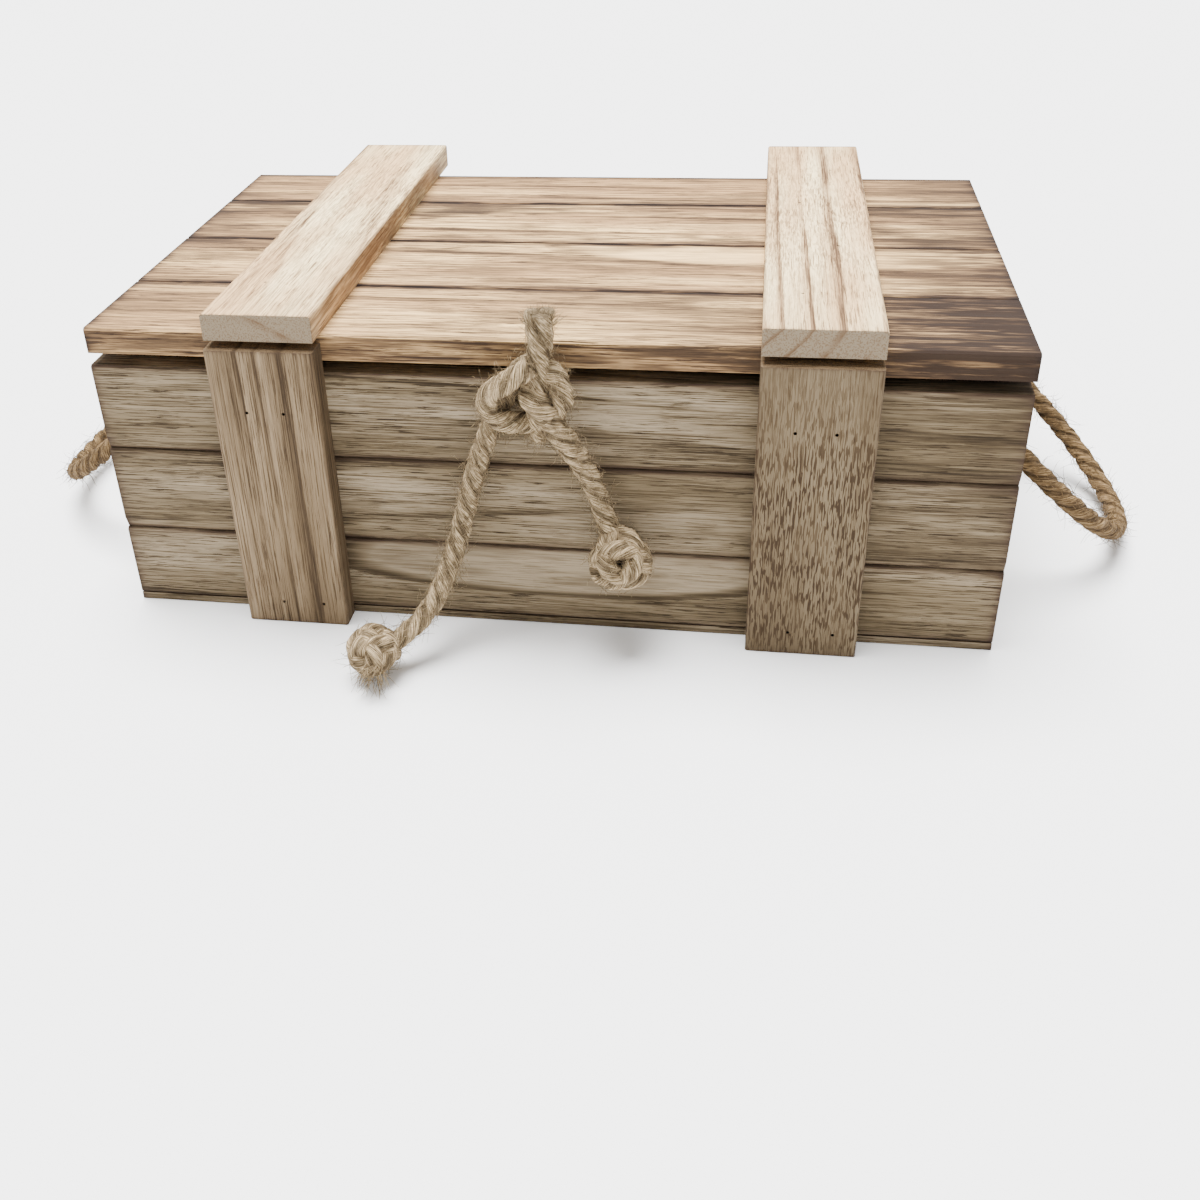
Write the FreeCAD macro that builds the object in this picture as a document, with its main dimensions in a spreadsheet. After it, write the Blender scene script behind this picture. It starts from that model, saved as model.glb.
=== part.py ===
import FreeCAD, Part
import Sketcher
import math
import os

from FreeCAD import Placement, Rotation, Vector

# A small wooden shipping crate: a nailed box of planks with a hinged, battened lid, rope handles at
# both ends and a knotted tie cord at the front.
# Row frame: millimetres, +Z up, front of the crate towards -Y, origin on the surface that the crate
# stands on, midway across its width and midway between the front battens and the lid battens' rear ends.

SIZES = {
    "boxWidth": 340.0,          # outside, along X
    "boxDepth": 202.0,          # outside, front planks' face to back planks' face
    "boxHeight": 106.0,         # underside of the bottom panel to the rim
    "boardThick": 10.0,         # planks and end boards
    "panelThick": 3.0,          # bottom panel
    "lowerPlank": 31.5,         # heights of the lower two wall planks; the upper one fills the rest
    "middlePlank": 36.0,
    "edgeBevel": 0.8,           # bevel on the long outer edges of the planks
    "slantRise": 5.0,           # planed slant along the lower outer edge of the two upper wall planks
    "slantDepth": 1.5,
    "battenBevel": 0.6,
    "battenWidth": 41.0,
    "battenThick": 10.0,
    "battenCentre": 99.0,       # from the middle of the crate, each way
    "battenRise": 12.0,         # front battens above the rim
    "battenNose": 8.0,          # lid battens ahead of the front planks' face
    "battenTail": 18.0,         # lid battens behind the back planks' face
    "lidThick": 10.0,
    "lidNose": -0.3,            # lid planks ahead of the front planks' face
    "lidSeat": 2.0,             # lid above the rim when shut: the two hinge leaves
    "lidPlankFront": 50.0,      # lid planks from the front; the rear one fills the rest
    "lidPlankSecond": 54.0,
    "lidPlankThird": 54.0,
    "lidAjar": 0.8,             # degrees that the lid stands open on its cord loop at rest
    "hingeCentre": 45.0,
    "leafLength": 30.0,
    "leafWidth": 9.0,
    "leafThick": 1.0,
    "knuckleDia": 4.0,
    "pinDia": 2.0,
    "pinFree": 0.1,             # running clearance on diameter in the lid leaf's knuckles
    "pinSetback": 2.2,          # pin axis behind the back planks' face
    "screwDia": 2.0,
    "screwLength": 8.0,
    "nailDia": 1.2,
    "nailLength": 18.0,
    "ropeDia": 8.0,
    "ropeHoleDia": 9.0,
    "holeRise": 62.0,           # handle holes above the base
    "holeSpacing": 100.0,
    "handleAxis": 4.4,          # handle's swing axis outside the end board's face
    "droopLeft": 38.0,          # degrees the handles hang below level at rest
    "droopRight": 44.0,
    "knotDia": 19.0,            # stopper knots inside the crate
    "tieHoleRise": 87.0,
    "tieHoleShift": 1.5,        # tie cord's hole right of the middle
    "loopDia": 4.0,             # cord loop under the lid
    "stapleWire": 1.2,
}

# Cord routes, each from the crate outwards. The front ones are in the row frame, and the handle's is
# in its own plane: outward reach from the swing axis, then distance along the end board.
TIE_END_ROUTE = [
    (1.5, -105.0, 87.0), (1.6, -111.6, 87.8), (2.0, -116.6, 92.8), (2.5, -118.2, 100.4),
    (3.0, -117.9, 109.5), (3.5, -116.8, 118.6), (3.9, -116.3, 127.5), (4.3, -116.4, 136.3),
]
RIGHT_TAIL_ROUTE = [
    (5.2, -120.6, 101.8), (9.6, -121.0, 94.5), (14.5, -119.2, 86.0), (18.8, -116.0, 76.5),
    (22.3, -113.8, 66.0), (25.2, -113.8, 55.5), (28.6, -116.2, 46.5),
]
LEFT_TAIL_ROUTE = [
    (-12.6, -115.4, 99.5), (-15.7, -114.6, 90.1), (-19.8, -113.6, 80.5), (-23.6, -113.1, 68.3),
    (-27.1, -113.0, 55.2), (-30.0, -115.3, 44.6), (-32.9, -119.2, 35.6), (-35.9, -124.3, 27.9),
    (-39.4, -129.8, 21.7), (-44.0, -134.9, 17.2), (-49.1, -139.4, 14.0), (-54.5, -143.2, 12.1),
]
LOOP_ROUTE = [
    (-6.0, -76.0, 107.9), (-6.4, -87.0, 108.3), (-6.5, -98.0, 108.5), (-6.5, -105.5, 108.5),
    (-6.5, -108.8, 105.2), (-6.5, -108.8, 100.4), (-1.8, -108.8, 95.7), (4.8, -108.8, 95.7),
    (9.5, -108.8, 100.4), (9.5, -108.8, 105.2), (9.5, -105.5, 108.5), (9.5, -98.0, 108.5),
    (9.4, -87.0, 108.3), (9.0, -76.0, 107.9),
]
HANDLE_HALF_ROUTE = [(0.0, 50.0), (17.0, 52.0), (36.0, 51.0), (55.0, 45.0), (70.5, 32.0), (80.5, 12.0)]

KNOT_RING = {"centre": (-2.3, -116.5, 105.0), "radius": 10.6, "tube": 4.2}
TAIL_KNOTS = {
    "tail_knot_right": {"centre": (31.2, -118.4, 40.6), "radius": 12.0},
    "tail_knot_left": {"centre": (-58.8, -145.2, 11.2), "radius": 11.0},
}
TUFT = {"length": 15.0, "baseRadius": 5.0, "tipRadius": 3.4, "sink": 4.0, "direction": (0.12, -0.97, -0.2)}

doc = FreeCAD.newDocument("crate")
sheet = doc.addObject("Spreadsheet::Sheet", "Sizes")
for row, (alias, number) in enumerate(SIZES.items(), start=1):
    sheet.set("A%d" % row, alias)
    sheet.set("B%d" % row, str(number))
    sheet.setAlias("B%d" % row, alias)
doc.recompute()


def size(alias):
    return float(sheet.get(alias))


def sized(text):
    """Point every size name in an expression at the sheet."""
    for alias in sorted(SIZES, key=len, reverse=True):
        text = text.replace("#" + alias, "Sizes." + alias)
    return text


# Faces and levels that many pieces share, as expressions.
FRONT = "(#battenThick - #boxDepth - #battenTail) / 2"
BACK = "(#battenThick + #boxDepth - #battenTail) / 2"
PIN_Y = "(" + BACK + " + #pinSetback)"
PIN_Z = "(#boxHeight + #lidSeat / 2)"

nodes = []


def bindPlace(thing, x, y, z):
    for axis, text in zip("xyz", (x, y, z)):
        thing.setExpression("Placement.Base." + axis, sized(text))


def hangOnPin(thing):
    """Seat a piece that is drawn about the hinge pin, with the lid shut, at the lid's rest angle."""
    thing.Placement = Placement(Vector(0, 0, 0), Rotation(Vector(-1, 0, 0), size("lidAjar")))
    thing.setExpression("Placement.Rotation.Angle", sized("#lidAjar"))
    bindPlace(thing, "0", PIN_Y, PIN_Z)


def keep(thing, label):
    thing.Label = label
    nodes.append(thing)
    return thing


def originPlane(body, role):
    for feature in body.Origin.OriginFeatures:
        if feature.Role == role:
            return feature
    raise ValueError("no plane " + role)


def rectangleSketch(body, corner, width, height):
    """A rectangle on the body's XY plane, its low corner at three expressions."""
    sketch = body.newObject("Sketcher::SketchObject", "Outline")
    sketch.AttachmentSupport = [(originPlane(body, "XY_Plane"), "")]
    sketch.MapMode = "FlatFace"
    for axis, text in zip("xyz", corner):
        sketch.setExpression("AttachmentOffset.Base." + axis, sized(text))
    corners = [Vector(0, 0, 0), Vector(20, 0, 0), Vector(20, 10, 0), Vector(0, 10, 0)]
    for start, end in zip(corners, corners[1:] + corners[:1]):
        sketch.addGeometry(Part.LineSegment(start, end), False)
    for edge in range(4):
        sketch.addConstraint(Sketcher.Constraint("Coincident", edge, 2, (edge + 1) % 4, 1))
        sketch.addConstraint(Sketcher.Constraint("Vertical" if edge % 2 else "Horizontal", edge))
    sketch.addConstraint(Sketcher.Constraint("Coincident", 0, 1, -1, 1))
    for name, kind, edge, text in (("width", "DistanceX", 0, width), ("height", "DistanceY", 1, height)):
        index = sketch.addConstraint(Sketcher.Constraint(kind, edge, 1, edge, 2, 20.0 - 10.0 * edge))
        sketch.renameConstraint(index, name)
        sketch.setExpression("Constraints." + name, sized(text))
    return sketch


def bevelledEdges(shape, along, outerAxis, outerSign):
    """Names of the edges that run along one axis on the outermost face across another."""
    box = shape.BoundBox
    limits = {"x": (box.XMin, box.XMax), "y": (box.YMin, box.YMax), "z": (box.ZMin, box.ZMax)}
    level = limits[outerAxis][1 if outerSign > 0 else 0]
    names = []
    for index, edge in enumerate(shape.Edges, start=1):
        run = edge.Vertexes[-1].Point - edge.Vertexes[0].Point
        middle = (edge.Vertexes[-1].Point + edge.Vertexes[0].Point) * 0.5
        if abs(abs(getattr(run, along)) - run.Length) < 1e-6 and abs(getattr(middle, outerAxis) - level) < 1e-6:
            names.append("Edge%d" % index)
    return names


def board(label, corner, spans, along, outer, bevel="#edgeBevel", onLid=False, hole=None, slantFace=None):
    """A plank, board or batten: a padded rectangle with its two long outer edges bevelled."""
    body = doc.addObject("PartDesign::Body", "Board")
    sketch = rectangleSketch(body, corner, spans[0], spans[1])
    pad = body.newObject("PartDesign::Pad", "Thickness")
    pad.Profile = sketch
    pad.setExpression("Length", sized(spans[2]))
    doc.recompute()
    if outer:
        edges = bevelledEdges(pad.Shape, along, outer[1], 1 if outer[0] == "+" else -1)
        chamfer = body.newObject("PartDesign::Chamfer", "Bevel")
        chamfer.Base = (pad, edges)
        chamfer.setExpression("Size", sized(bevel))
        doc.recompute()
        if slantFace:
            chamfer.Base = (pad, edges[:1] if shapeHeight(pad, edges[0]) > shapeHeight(pad, edges[1]) else edges[1:])
            doc.recompute()
            slantLowerEdge(body, slantFace)
    for plane, place in hole or ():
        drill(body, plane, place)
    if onLid:
        hangOnPin(body)
    return keep(body, label)


def shapeHeight(feature, edge):
    return feature.Shape.getElement(edge).Vertexes[0].Point.z


def slantLowerEdge(body, face):
    """Plane the lower outer edge of a wall plank back to a shallow slant."""
    solid = body.Tip
    edges = bevelledEdges(solid.Shape, "x", "y", -1 if face == FRONT else 1)
    shape = solid.Shape
    lowest = min(edges, key=lambda name: shape.getElement(name).Vertexes[0].Point.z)
    slant = body.newObject("PartDesign::Chamfer", "Slant")
    slant.Base = (solid, [lowest])
    slant.ChamferType = "Two distances"
    slant.setExpression("Size", sized("#slantRise"))
    slant.setExpression("Size2", sized("#slantDepth"))
    doc.recompute()
    box = slant.Shape.BoundBox
    wanted = box.ZMin + size("slantRise")
    if not any(abs(vertex.Z - wanted) < 1e-6 for vertex in slant.Shape.Vertexes):
        slant.FlipDirection = True
        doc.recompute()
    if not any(abs(vertex.Z - wanted) < 1e-6 for vertex in slant.Shape.Vertexes):
        raise ValueError("the slant runs the wrong way")


def drill(body, plane, place):
    """A rope hole through a board, its centre at three expressions in the plane's own axes."""
    before = body.Shape.Volume
    sketch = body.newObject("Sketcher::SketchObject", "Hole")
    sketch.AttachmentSupport = [(originPlane(body, plane), "")]
    sketch.MapMode = "FlatFace"
    for axis, text in zip("xyz", place):
        sketch.setExpression("AttachmentOffset.Base." + axis, sized(text))
    sketch.addGeometry(Part.Circle(Vector(0, 0, 0), Vector(0, 0, 1), 4.0), False)
    sketch.addConstraint(Sketcher.Constraint("Coincident", 0, 3, -1, 1))
    index = sketch.addConstraint(Sketcher.Constraint("Diameter", 0, 8.0))
    sketch.renameConstraint(index, "bore")
    sketch.setExpression("Constraints.bore", sized("#ropeHoleDia"))
    pocket = body.newObject("PartDesign::Pocket", "RopeHole")
    pocket.Profile = sketch
    pocket.SideType = "Symmetric"
    pocket.setExpression("Length", sized("3 * #boardThick"))
    doc.recompute()
    cut = before - body.Shape.Volume
    bore = math.pi * size("ropeHoleDia") ** 2 / 4 * size("boardThick")
    if abs(cut - bore) > 0.02 * bore:
        raise ValueError("rope hole cuts %.1f instead of %.1f" % (cut, bore))


def cylinder(radius, height, place, direction):
    """A bound cylinder from three expressions, along a plain direction."""
    pin = doc.addObject("Part::Cylinder", "Round")
    pin.setExpression("Radius", sized(radius))
    pin.setExpression("Height", sized(height))
    pin.Placement = Placement(Vector(0, 0, 0), Rotation(Vector(0, 0, 1), Vector(*direction)))
    bindPlace(pin, *place)
    return pin


def fastenerGroup(label, places, direction, radius, height, onLid=False):
    """Identical nails or screws as one node of separate solids."""
    group = doc.addObject("Part::Compound", "Fasteners")
    group.Links = [cylinder(radius, height, place, direction) for place in places]
    if onLid:
        hangOnPin(group)
    return keep(group, label)


def joined(kind, base, tool):
    result = doc.addObject("Part::" + kind, kind)
    result.Base = base
    result.Tool = tool
    return result


def fused(shapes):
    result = doc.addObject("Part::MultiFuse", "Fused")
    result.Shapes = shapes
    return result


# ---- the box ----

# The bottom panel lies under all four walls, so its edge shows along the bottom.
board("bottom_panel", ("-#boxWidth / 2", FRONT, "0"), ("#boxWidth", "#boxDepth", "#panelThick"), "x", None)

UPPER_HEIGHT = "#boxHeight - #panelThick - #lowerPlank - #middlePlank"
PLANK_LEVELS = (
    ("lower", "#panelThick", "#lowerPlank"),
    ("middle", "#panelThick + #lowerPlank", "#middlePlank"),
    ("upper", "#panelThick + #lowerPlank + #middlePlank", UPPER_HEIGHT),
)
TIE_HOLE = ("XZ_Plane", ("#tieHoleShift", "#tieHoleRise", "-(" + FRONT + " + #boardThick / 2)"))
for level, base, height in PLANK_LEVELS:
    for wall, face, outer in (("front", FRONT, "-y"), ("back", BACK + " - #boardThick", "+y")):
        board("%s_plank_%s" % (wall, level), ("-#boxWidth / 2", face, base), ("#boxWidth", "#boardThick", height),
              "x", outer, hole=[TIE_HOLE] if (wall, level) == ("front", "upper") else None,
              slantFace=None if level == "lower" else (FRONT if wall == "front" else BACK))

# One wide board closes each end between the front and back planks, with two rope holes in it.
MIDDLE_Y = "(" + FRONT + " + #boxDepth / 2)"
for side, sign in (("left", "-"), ("right", "")):
    inner = "-#boxWidth / 2" if side == "left" else "#boxWidth / 2 - #boardThick"
    holes = []
    for step in ("-", "+"):
        centreY = MIDDLE_Y + " " + step + " #holeSpacing / 2"
        holes.append(("YZ_Plane", (centreY, "#holeRise", sign + "(#boxWidth / 2 - #boardThick / 2)")))
    board("end_board_" + side, (inner, FRONT + " + #boardThick", "#panelThick"),
          ("#boardThick", "#boxDepth - 2 * #boardThick", "#boxHeight - #panelThick"), "y", None, hole=holes)

# Upright battens: the front pair stands above the rim to meet the lid's battens, and the rear pair
# stops at the rim, clear of the opening lid.
for side, sign in (("left", "-"), ("right", "")):
    low = sign + "#battenCentre - #battenWidth / 2"
    board("front_batten_" + side, (low, FRONT + " - #battenThick", "0"),
          ("#battenWidth", "#battenThick", "#boxHeight + #battenRise"), "z", "-y", "#battenBevel")
    board("rear_batten_" + side, (low, BACK, "0"),
          ("#battenWidth", "#battenThick", "#boxHeight"), "z", "+y", "#battenBevel")

# ---- the lid, drawn about the hinge pin as if shut ----

LID_FRONT = "-(#boxDepth + #pinSetback + #lidNose)"
LID_UNDER = "#lidSeat / 2"
THREE_PLANKS = "#lidPlankFront - #lidPlankSecond - #lidPlankThird"
LID_PLANKS = (
    ("lid_plank_front", LID_FRONT, "#lidPlankFront"),
    ("lid_plank_second", LID_FRONT + " + #lidPlankFront", "#lidPlankSecond"),
    ("lid_plank_third", LID_FRONT + " + #lidPlankFront + #lidPlankSecond", "#lidPlankThird"),
    ("lid_plank_rear", LID_FRONT + " + #lidPlankFront + #lidPlankSecond + #lidPlankThird",
     "#boxDepth + #lidNose - " + THREE_PLANKS),
)
for label, start, width in LID_PLANKS:
    board(label, ("-#boxWidth / 2", start, LID_UNDER), ("#boxWidth", width, "#lidThick"), "x", "+z", onLid=True)
for side, sign in (("left", "-"), ("right", "")):
    board("lid_batten_" + side,
          (sign + "#battenCentre - #battenWidth / 2", "-(#boxDepth + #pinSetback + #battenNose)",
           LID_UNDER + " + #lidThick"),
          ("#battenWidth", "#boxDepth + #battenNose + #battenTail", "#battenThick"),
          "y", "+z", "#battenBevel", onLid=True)

# ---- hinges: one leaf on the rim and one under the lid, with the knuckles behind the back planks ----

KNUCKLES = {"box": ((-15.0, -9.2), (-2.8, 2.8), (9.2, 15.0)), "lid": ((-9.0, -3.0), (3.0, 9.0))}
NOTCH_GAP = 0.2


def knuckleRow(centre, spans, radius, grow=0.0):
    rounds = []
    for low, high in spans:
        start = centre + " + %g" % (low - grow)
        rounds.append(cylinder(radius, "%g" % (high - low + 2 * grow), (start, "0", "0"), (1, 0, 0)))
    return rounds


def hingeLeaf(label, centre, owner):
    """A flat leaf with its own knuckles, notched round the other leaf's and bored for the pin."""
    other = "lid" if owner == "box" else "box"
    plate = doc.addObject("Part::Box", "Plate")
    plate.setExpression("Length", sized("#leafLength"))
    plate.setExpression("Width", sized("#leafWidth + #pinSetback"))
    plate.setExpression("Height", sized("#leafThick"))
    below = "-#leafThick" if owner == "box" else "0"
    bindPlace(plate, centre + " - #leafLength / 2", "-(#leafWidth + #pinSetback)", below)
    notches = knuckleRow(centre, KNUCKLES[other], "#knuckleDia / 2 + %g" % NOTCH_GAP, NOTCH_GAP / 2)
    flat = joined("Cut", plate, fused(notches))
    solid = fused([flat] + knuckleRow(centre, KNUCKLES[owner], "#knuckleDia / 2"))
    bore = "#pinDia / 2" if owner == "box" else "(#pinDia + #pinFree) / 2"
    pinHole = cylinder(bore, "2 * #leafLength", (centre + " - #leafLength", "0", "0"), (1, 0, 0))
    leaf = joined("Cut", solid, pinHole)
    if owner == "box":
        bindPlace(leaf, "0", PIN_Y, PIN_Z)
    else:
        hangOnPin(leaf)
    return keep(leaf, label)


HINGES = (("left", "-#hingeCentre"), ("right", "#hingeCentre"))
for side, centre in HINGES:
    hingeLeaf("hinge_leaf_box_" + side, centre, "box")
    hingeLeaf("hinge_leaf_lid_" + side, centre, "lid")
    pin = cylinder("#pinDia / 2", "#leafLength", (centre + " - #leafLength / 2", PIN_Y, PIN_Z), (1, 0, 0))
    keep(pin, "hinge_pin_" + side)

SCREW_LINE = "-(#pinSetback + 0.6 * #leafWidth)"
boxScrews = []
lidScrews = []
for side, centre in HINGES:
    for shift in (-11.0, 11.0):
        across = centre + " + %g" % shift
        boxScrews.append((across, PIN_Y + " + " + SCREW_LINE, PIN_Z))
        lidScrews.append((centre + " + %g" % (shift / 2), SCREW_LINE, "0"))
fastenerGroup("hinge_screws_box", boxScrews, (0, 0, -1), "#screwDia / 2", "#screwLength")
fastenerGroup("hinge_screws_lid", lidScrews, (0, 0, 1), "#screwDia / 2", "#screwLength", onLid=True)

# ---- nails, driven flush ----

NAIL_STEP = 7.0             # lid nails beside a batten's centre line
UPRIGHT_NAILS = ((-7.5, 93.5), (6.5, 93.5), (-5.0, 9.5), (11.5, 9.5))    # across from the centre line, and up


def battenNails(face):
    return [("%s#battenCentre + %g" % (sign, step), face, "%g" % level)
            for sign in ("-", "") for step, level in UPRIGHT_NAILS]


NAIL = ("#nailDia / 2", "#nailLength")
fastenerGroup("front_batten_nails", battenNails(FRONT + " - #battenThick"), (0, 1, 0), *NAIL)
fastenerGroup("rear_batten_nails", battenNails(BACK + " + #battenThick"), (0, -1, 0), *NAIL)

bottomNails = []
for wall in (FRONT + " + #boardThick / 2", BACK + " - #boardThick / 2"):
    bottomNails += [("%g * #boxWidth" % part, wall, "0") for part in (-0.42, -0.14, 0.14, 0.42)]
for sign in ("-", ""):
    bottomNails += [("%s(#boxWidth / 2 - #boardThick / 2)" % sign, MIDDLE_Y + " + %g * #boxDepth" % part, "0")
                    for part in (-0.3, 0.0, 0.3)]
fastenerGroup("bottom_nails", bottomNails, (0, 0, 1), *NAIL)

lidNails = []
for sign in ("-", ""):
    for turn, (label, start, width) in enumerate(LID_PLANKS):
        step = NAIL_STEP if turn % 2 else -NAIL_STEP
        lidNails.append(("%s#battenCentre + %g" % (sign, step), "%s + (%s) / 2" % (start, width),
                         LID_UNDER + " + #lidThick + #battenThick"))
fastenerGroup("lid_nails", lidNails, (0, 0, -1), *NAIL, onLid=True)

# ---- cords ----


def cordWire(points):
    """Straight runs joined by tangent arcs; returns the wire and the arcs' radii."""
    edges = []
    radii = []
    start = points[0]
    for before, corner, after in zip(points, points[1:], points[2:]):
        arrive = (corner - before)
        leave = (after - corner)
        shorter = min(arrive.Length, leave.Length)
        arrive.normalize()
        leave.normalize()
        halfTurn = arrive.getAngle(leave) / 2
        reach = 0.45 * shorter
        radius = reach / math.tan(halfTurn)
        inward = leave - arrive
        inward.normalize()
        arcStart = corner - arrive * reach
        arcEnd = corner + leave * reach
        arcMiddle = corner + inward * (radius / math.cos(halfTurn) - radius)
        edges.append(Part.LineSegment(start, arcStart).toShape())
        edges.append(Part.Arc(arcStart, arcMiddle, arcEnd).toShape())
        radii.append(radius)
        start = arcEnd
    edges.append(Part.LineSegment(start, points[-1]).toShape())
    return Part.Wire(edges), radii


def cordTube(label, route, diameter, place=None):
    points = [Vector(*point) for point in route]
    wire, radii = cordWire(points)
    along = points[1] - points[0]
    section = Part.Wire([Part.Circle(points[0], along, diameter / 2).toShape()])
    tube = wire.makePipeShell([section], True, False)
    expected = math.pi * diameter ** 2 / 4 * wire.Length
    print("%-18s length %6.1f  radii %s  volume ratio %.3f" % (
        label, wire.Length, " ".join("%.0f" % radius for radius in radii), tube.Volume / expected))
    feature = doc.addObject("Part::Feature", "Cord")
    feature.Shape = tube
    if place is not None:
        feature.Placement = place
    return keep(feature, label)


def stopperKnot(label, mouth, inward):
    """A round knot against the inside of a board, with the rope from it to the outer face."""
    flat = 3.0                  # how far the ball is pressed flat against the board
    ball = doc.addObject("Part::Sphere", "Ball")
    ball.setExpression("Radius", sized("#knotDia / 2"))
    bindPlace(ball, "0", "0", "#boardThick + #knotDia / 2 - %g" % flat)
    side = doc.addObject("Part::Box", "Inside")
    for name in ("Length", "Width", "Height"):
        side.setExpression(name, sized("2 * #knotDia"))
    bindPlace(side, "-#knotDia", "-#knotDia", "#boardThick")
    rope = cylinder("#ropeDia / 2", "#boardThick + 1", ("0", "0", "0"), (0, 0, 1))
    knot = joined("Fuse", joined("Common", ball, side), rope)
    knot.Placement = Placement(Vector(0, 0, 0), Rotation(Vector(0, 0, 1), Vector(*inward)))
    bindPlace(knot, *mouth)
    return keep(knot, label)


for side, sign, inward in (("left", "-", 1), ("right", "", -1)):
    for end, step in (("front", "-"), ("rear", "+")):
        stopperKnot("handle_knot_%s_%s" % (side, end),
                    (sign + "#boxWidth / 2", MIDDLE_Y + " " + step + " #holeSpacing / 2", "#holeRise"),
                    (inward, 0, 0))
stopperKnot("tie_stopper_knot", ("#tieHoleShift", FRONT, "#tieHoleRise"), (0, 1, 0))

# Each handle is a stiff loop of rope that swings about the line through its two holes.
handleFront = [(reach, -across, 0.0) for reach, across in HANDLE_HALF_ROUTE]
handleRear = [(reach, across, 0.0) for reach, across in reversed(HANDLE_HALF_ROUTE)]
middleY = (size("battenThick") - size("battenTail")) / 2
axisX = size("boxWidth") / 2 + size("handleAxis")
for side, sign in (("left", -1), ("right", 1)):
    route = [(sign * reach, across, level) for reach, across, level in handleFront + handleRear]
    droop = Rotation(Vector(0, 1, 0), sign * size("droop" + side.capitalize()))
    cordTube("handle_" + side, route, size("ropeDia"),
             Placement(Vector(sign * axisX, middleY, size("holeRise")), droop))

cordTube("tie_cord_end", TIE_END_ROUTE, size("ropeDia"))
cordTube("tie_tail_right", RIGHT_TAIL_ROUTE, size("ropeDia"))
cordTube("tie_tail_left", LEFT_TAIL_ROUTE, size("ropeDia"))
cordTube("lid_loop", LOOP_ROUTE, size("loopDia"))

knot = doc.addObject("Part::Torus", "Ring")
knot.Radius1 = KNOT_RING["radius"]
knot.Radius2 = KNOT_RING["tube"]
knot.Placement = Placement(Vector(*KNOT_RING["centre"]), Rotation(Vector(1, 0, 0), 90))
keep(knot, "tie_knot")

for label, shape in TAIL_KNOTS.items():
    ball = doc.addObject("Part::Sphere", "Ball")
    ball.Radius = shape["radius"]
    ball.Placement = Placement(Vector(*shape["centre"]), Rotation())
    if label == "tail_knot_left":
        # The cord's frayed end comes out of the far side of this knot and lies on the ground.
        tuft = doc.addObject("Part::Cone", "Tuft")
        tuft.Radius1 = TUFT["baseRadius"]
        tuft.Radius2 = TUFT["tipRadius"]
        tuft.Height = TUFT["length"]
        aim = Vector(*TUFT["direction"])
        aim.normalize()
        foot = Vector(*shape["centre"]) + aim * (shape["radius"] - TUFT["sink"])
        tuft.Placement = Placement(foot, Rotation(Vector(0, 0, 1), aim))
        ball = joined("Fuse", ball, tuft)
    keep(ball, label)

# A wire staple holds the loop's two ends up under the lid's front plank.
STAPLE = {"left": -9.0, "right": 12.0, "y": -83.0, "crown": 104.9, "tip": 117.5}
crown = cylinder("#stapleWire / 2", "%g" % (STAPLE["right"] - STAPLE["left"]),
                 ("%g" % STAPLE["left"], "%g" % STAPLE["y"], "%g" % STAPLE["crown"]), (1, 0, 0))
legs = [cylinder("#stapleWire / 2", "%g" % (STAPLE["tip"] - STAPLE["crown"]),
                 ("%g" % STAPLE[side], "%g" % STAPLE["y"], "%g" % STAPLE["crown"]), (0, 0, 1))
        for side in ("left", "right")]
keep(fused([crown] + legs), "loop_staple")

# ---- check and write ----

doc.recompute()
for thing in doc.Objects:
    if "Invalid" in thing.State or "Error" in thing.State:
        raise ValueError("%s (%s) failed: %s" % (thing.Label, thing.TypeId, thing.State))
for thing in nodes:
    shape = thing.Shape
    if shape.isNull() or not shape.isValid() or not shape.Solids:
        raise ValueError("%s has no valid solid" % thing.Label)

os.makedirs("parts", exist_ok=True)
for thing in nodes:
    thing.Shape.exportStep("parts/%s.step" % thing.Label)
print("%d nodes written" % len(nodes))
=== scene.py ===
import bpy
import math
import random
from mathutils import Matrix, Vector


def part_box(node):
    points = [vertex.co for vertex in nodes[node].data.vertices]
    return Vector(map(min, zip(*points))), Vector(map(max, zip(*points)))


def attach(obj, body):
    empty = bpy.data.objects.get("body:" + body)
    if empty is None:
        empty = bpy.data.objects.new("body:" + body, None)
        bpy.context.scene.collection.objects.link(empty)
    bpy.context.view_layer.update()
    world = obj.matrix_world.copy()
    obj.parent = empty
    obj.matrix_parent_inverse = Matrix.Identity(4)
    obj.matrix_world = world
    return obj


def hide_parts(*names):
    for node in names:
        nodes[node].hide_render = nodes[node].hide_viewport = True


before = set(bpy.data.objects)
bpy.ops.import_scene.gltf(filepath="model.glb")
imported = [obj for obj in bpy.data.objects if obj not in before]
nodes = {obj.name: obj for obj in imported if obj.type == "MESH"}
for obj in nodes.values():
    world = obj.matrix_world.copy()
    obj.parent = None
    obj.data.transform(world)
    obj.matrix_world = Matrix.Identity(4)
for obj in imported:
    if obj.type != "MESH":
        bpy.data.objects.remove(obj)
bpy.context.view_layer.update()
print("frame loaded,", len(nodes), "nodes")

cameraValues = {
    "place": (0.074509, -0.53136, 0.30807),
    "azimuth": -10.91,      # degrees from +Y towards +X
    "down": 31.542,         # degrees below level
    "roll": -2.834,
    "lens": 39.96,          # millimetres, on a 36 mm sensor
    "shift": (0.0649, -0.0562),
}


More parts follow.
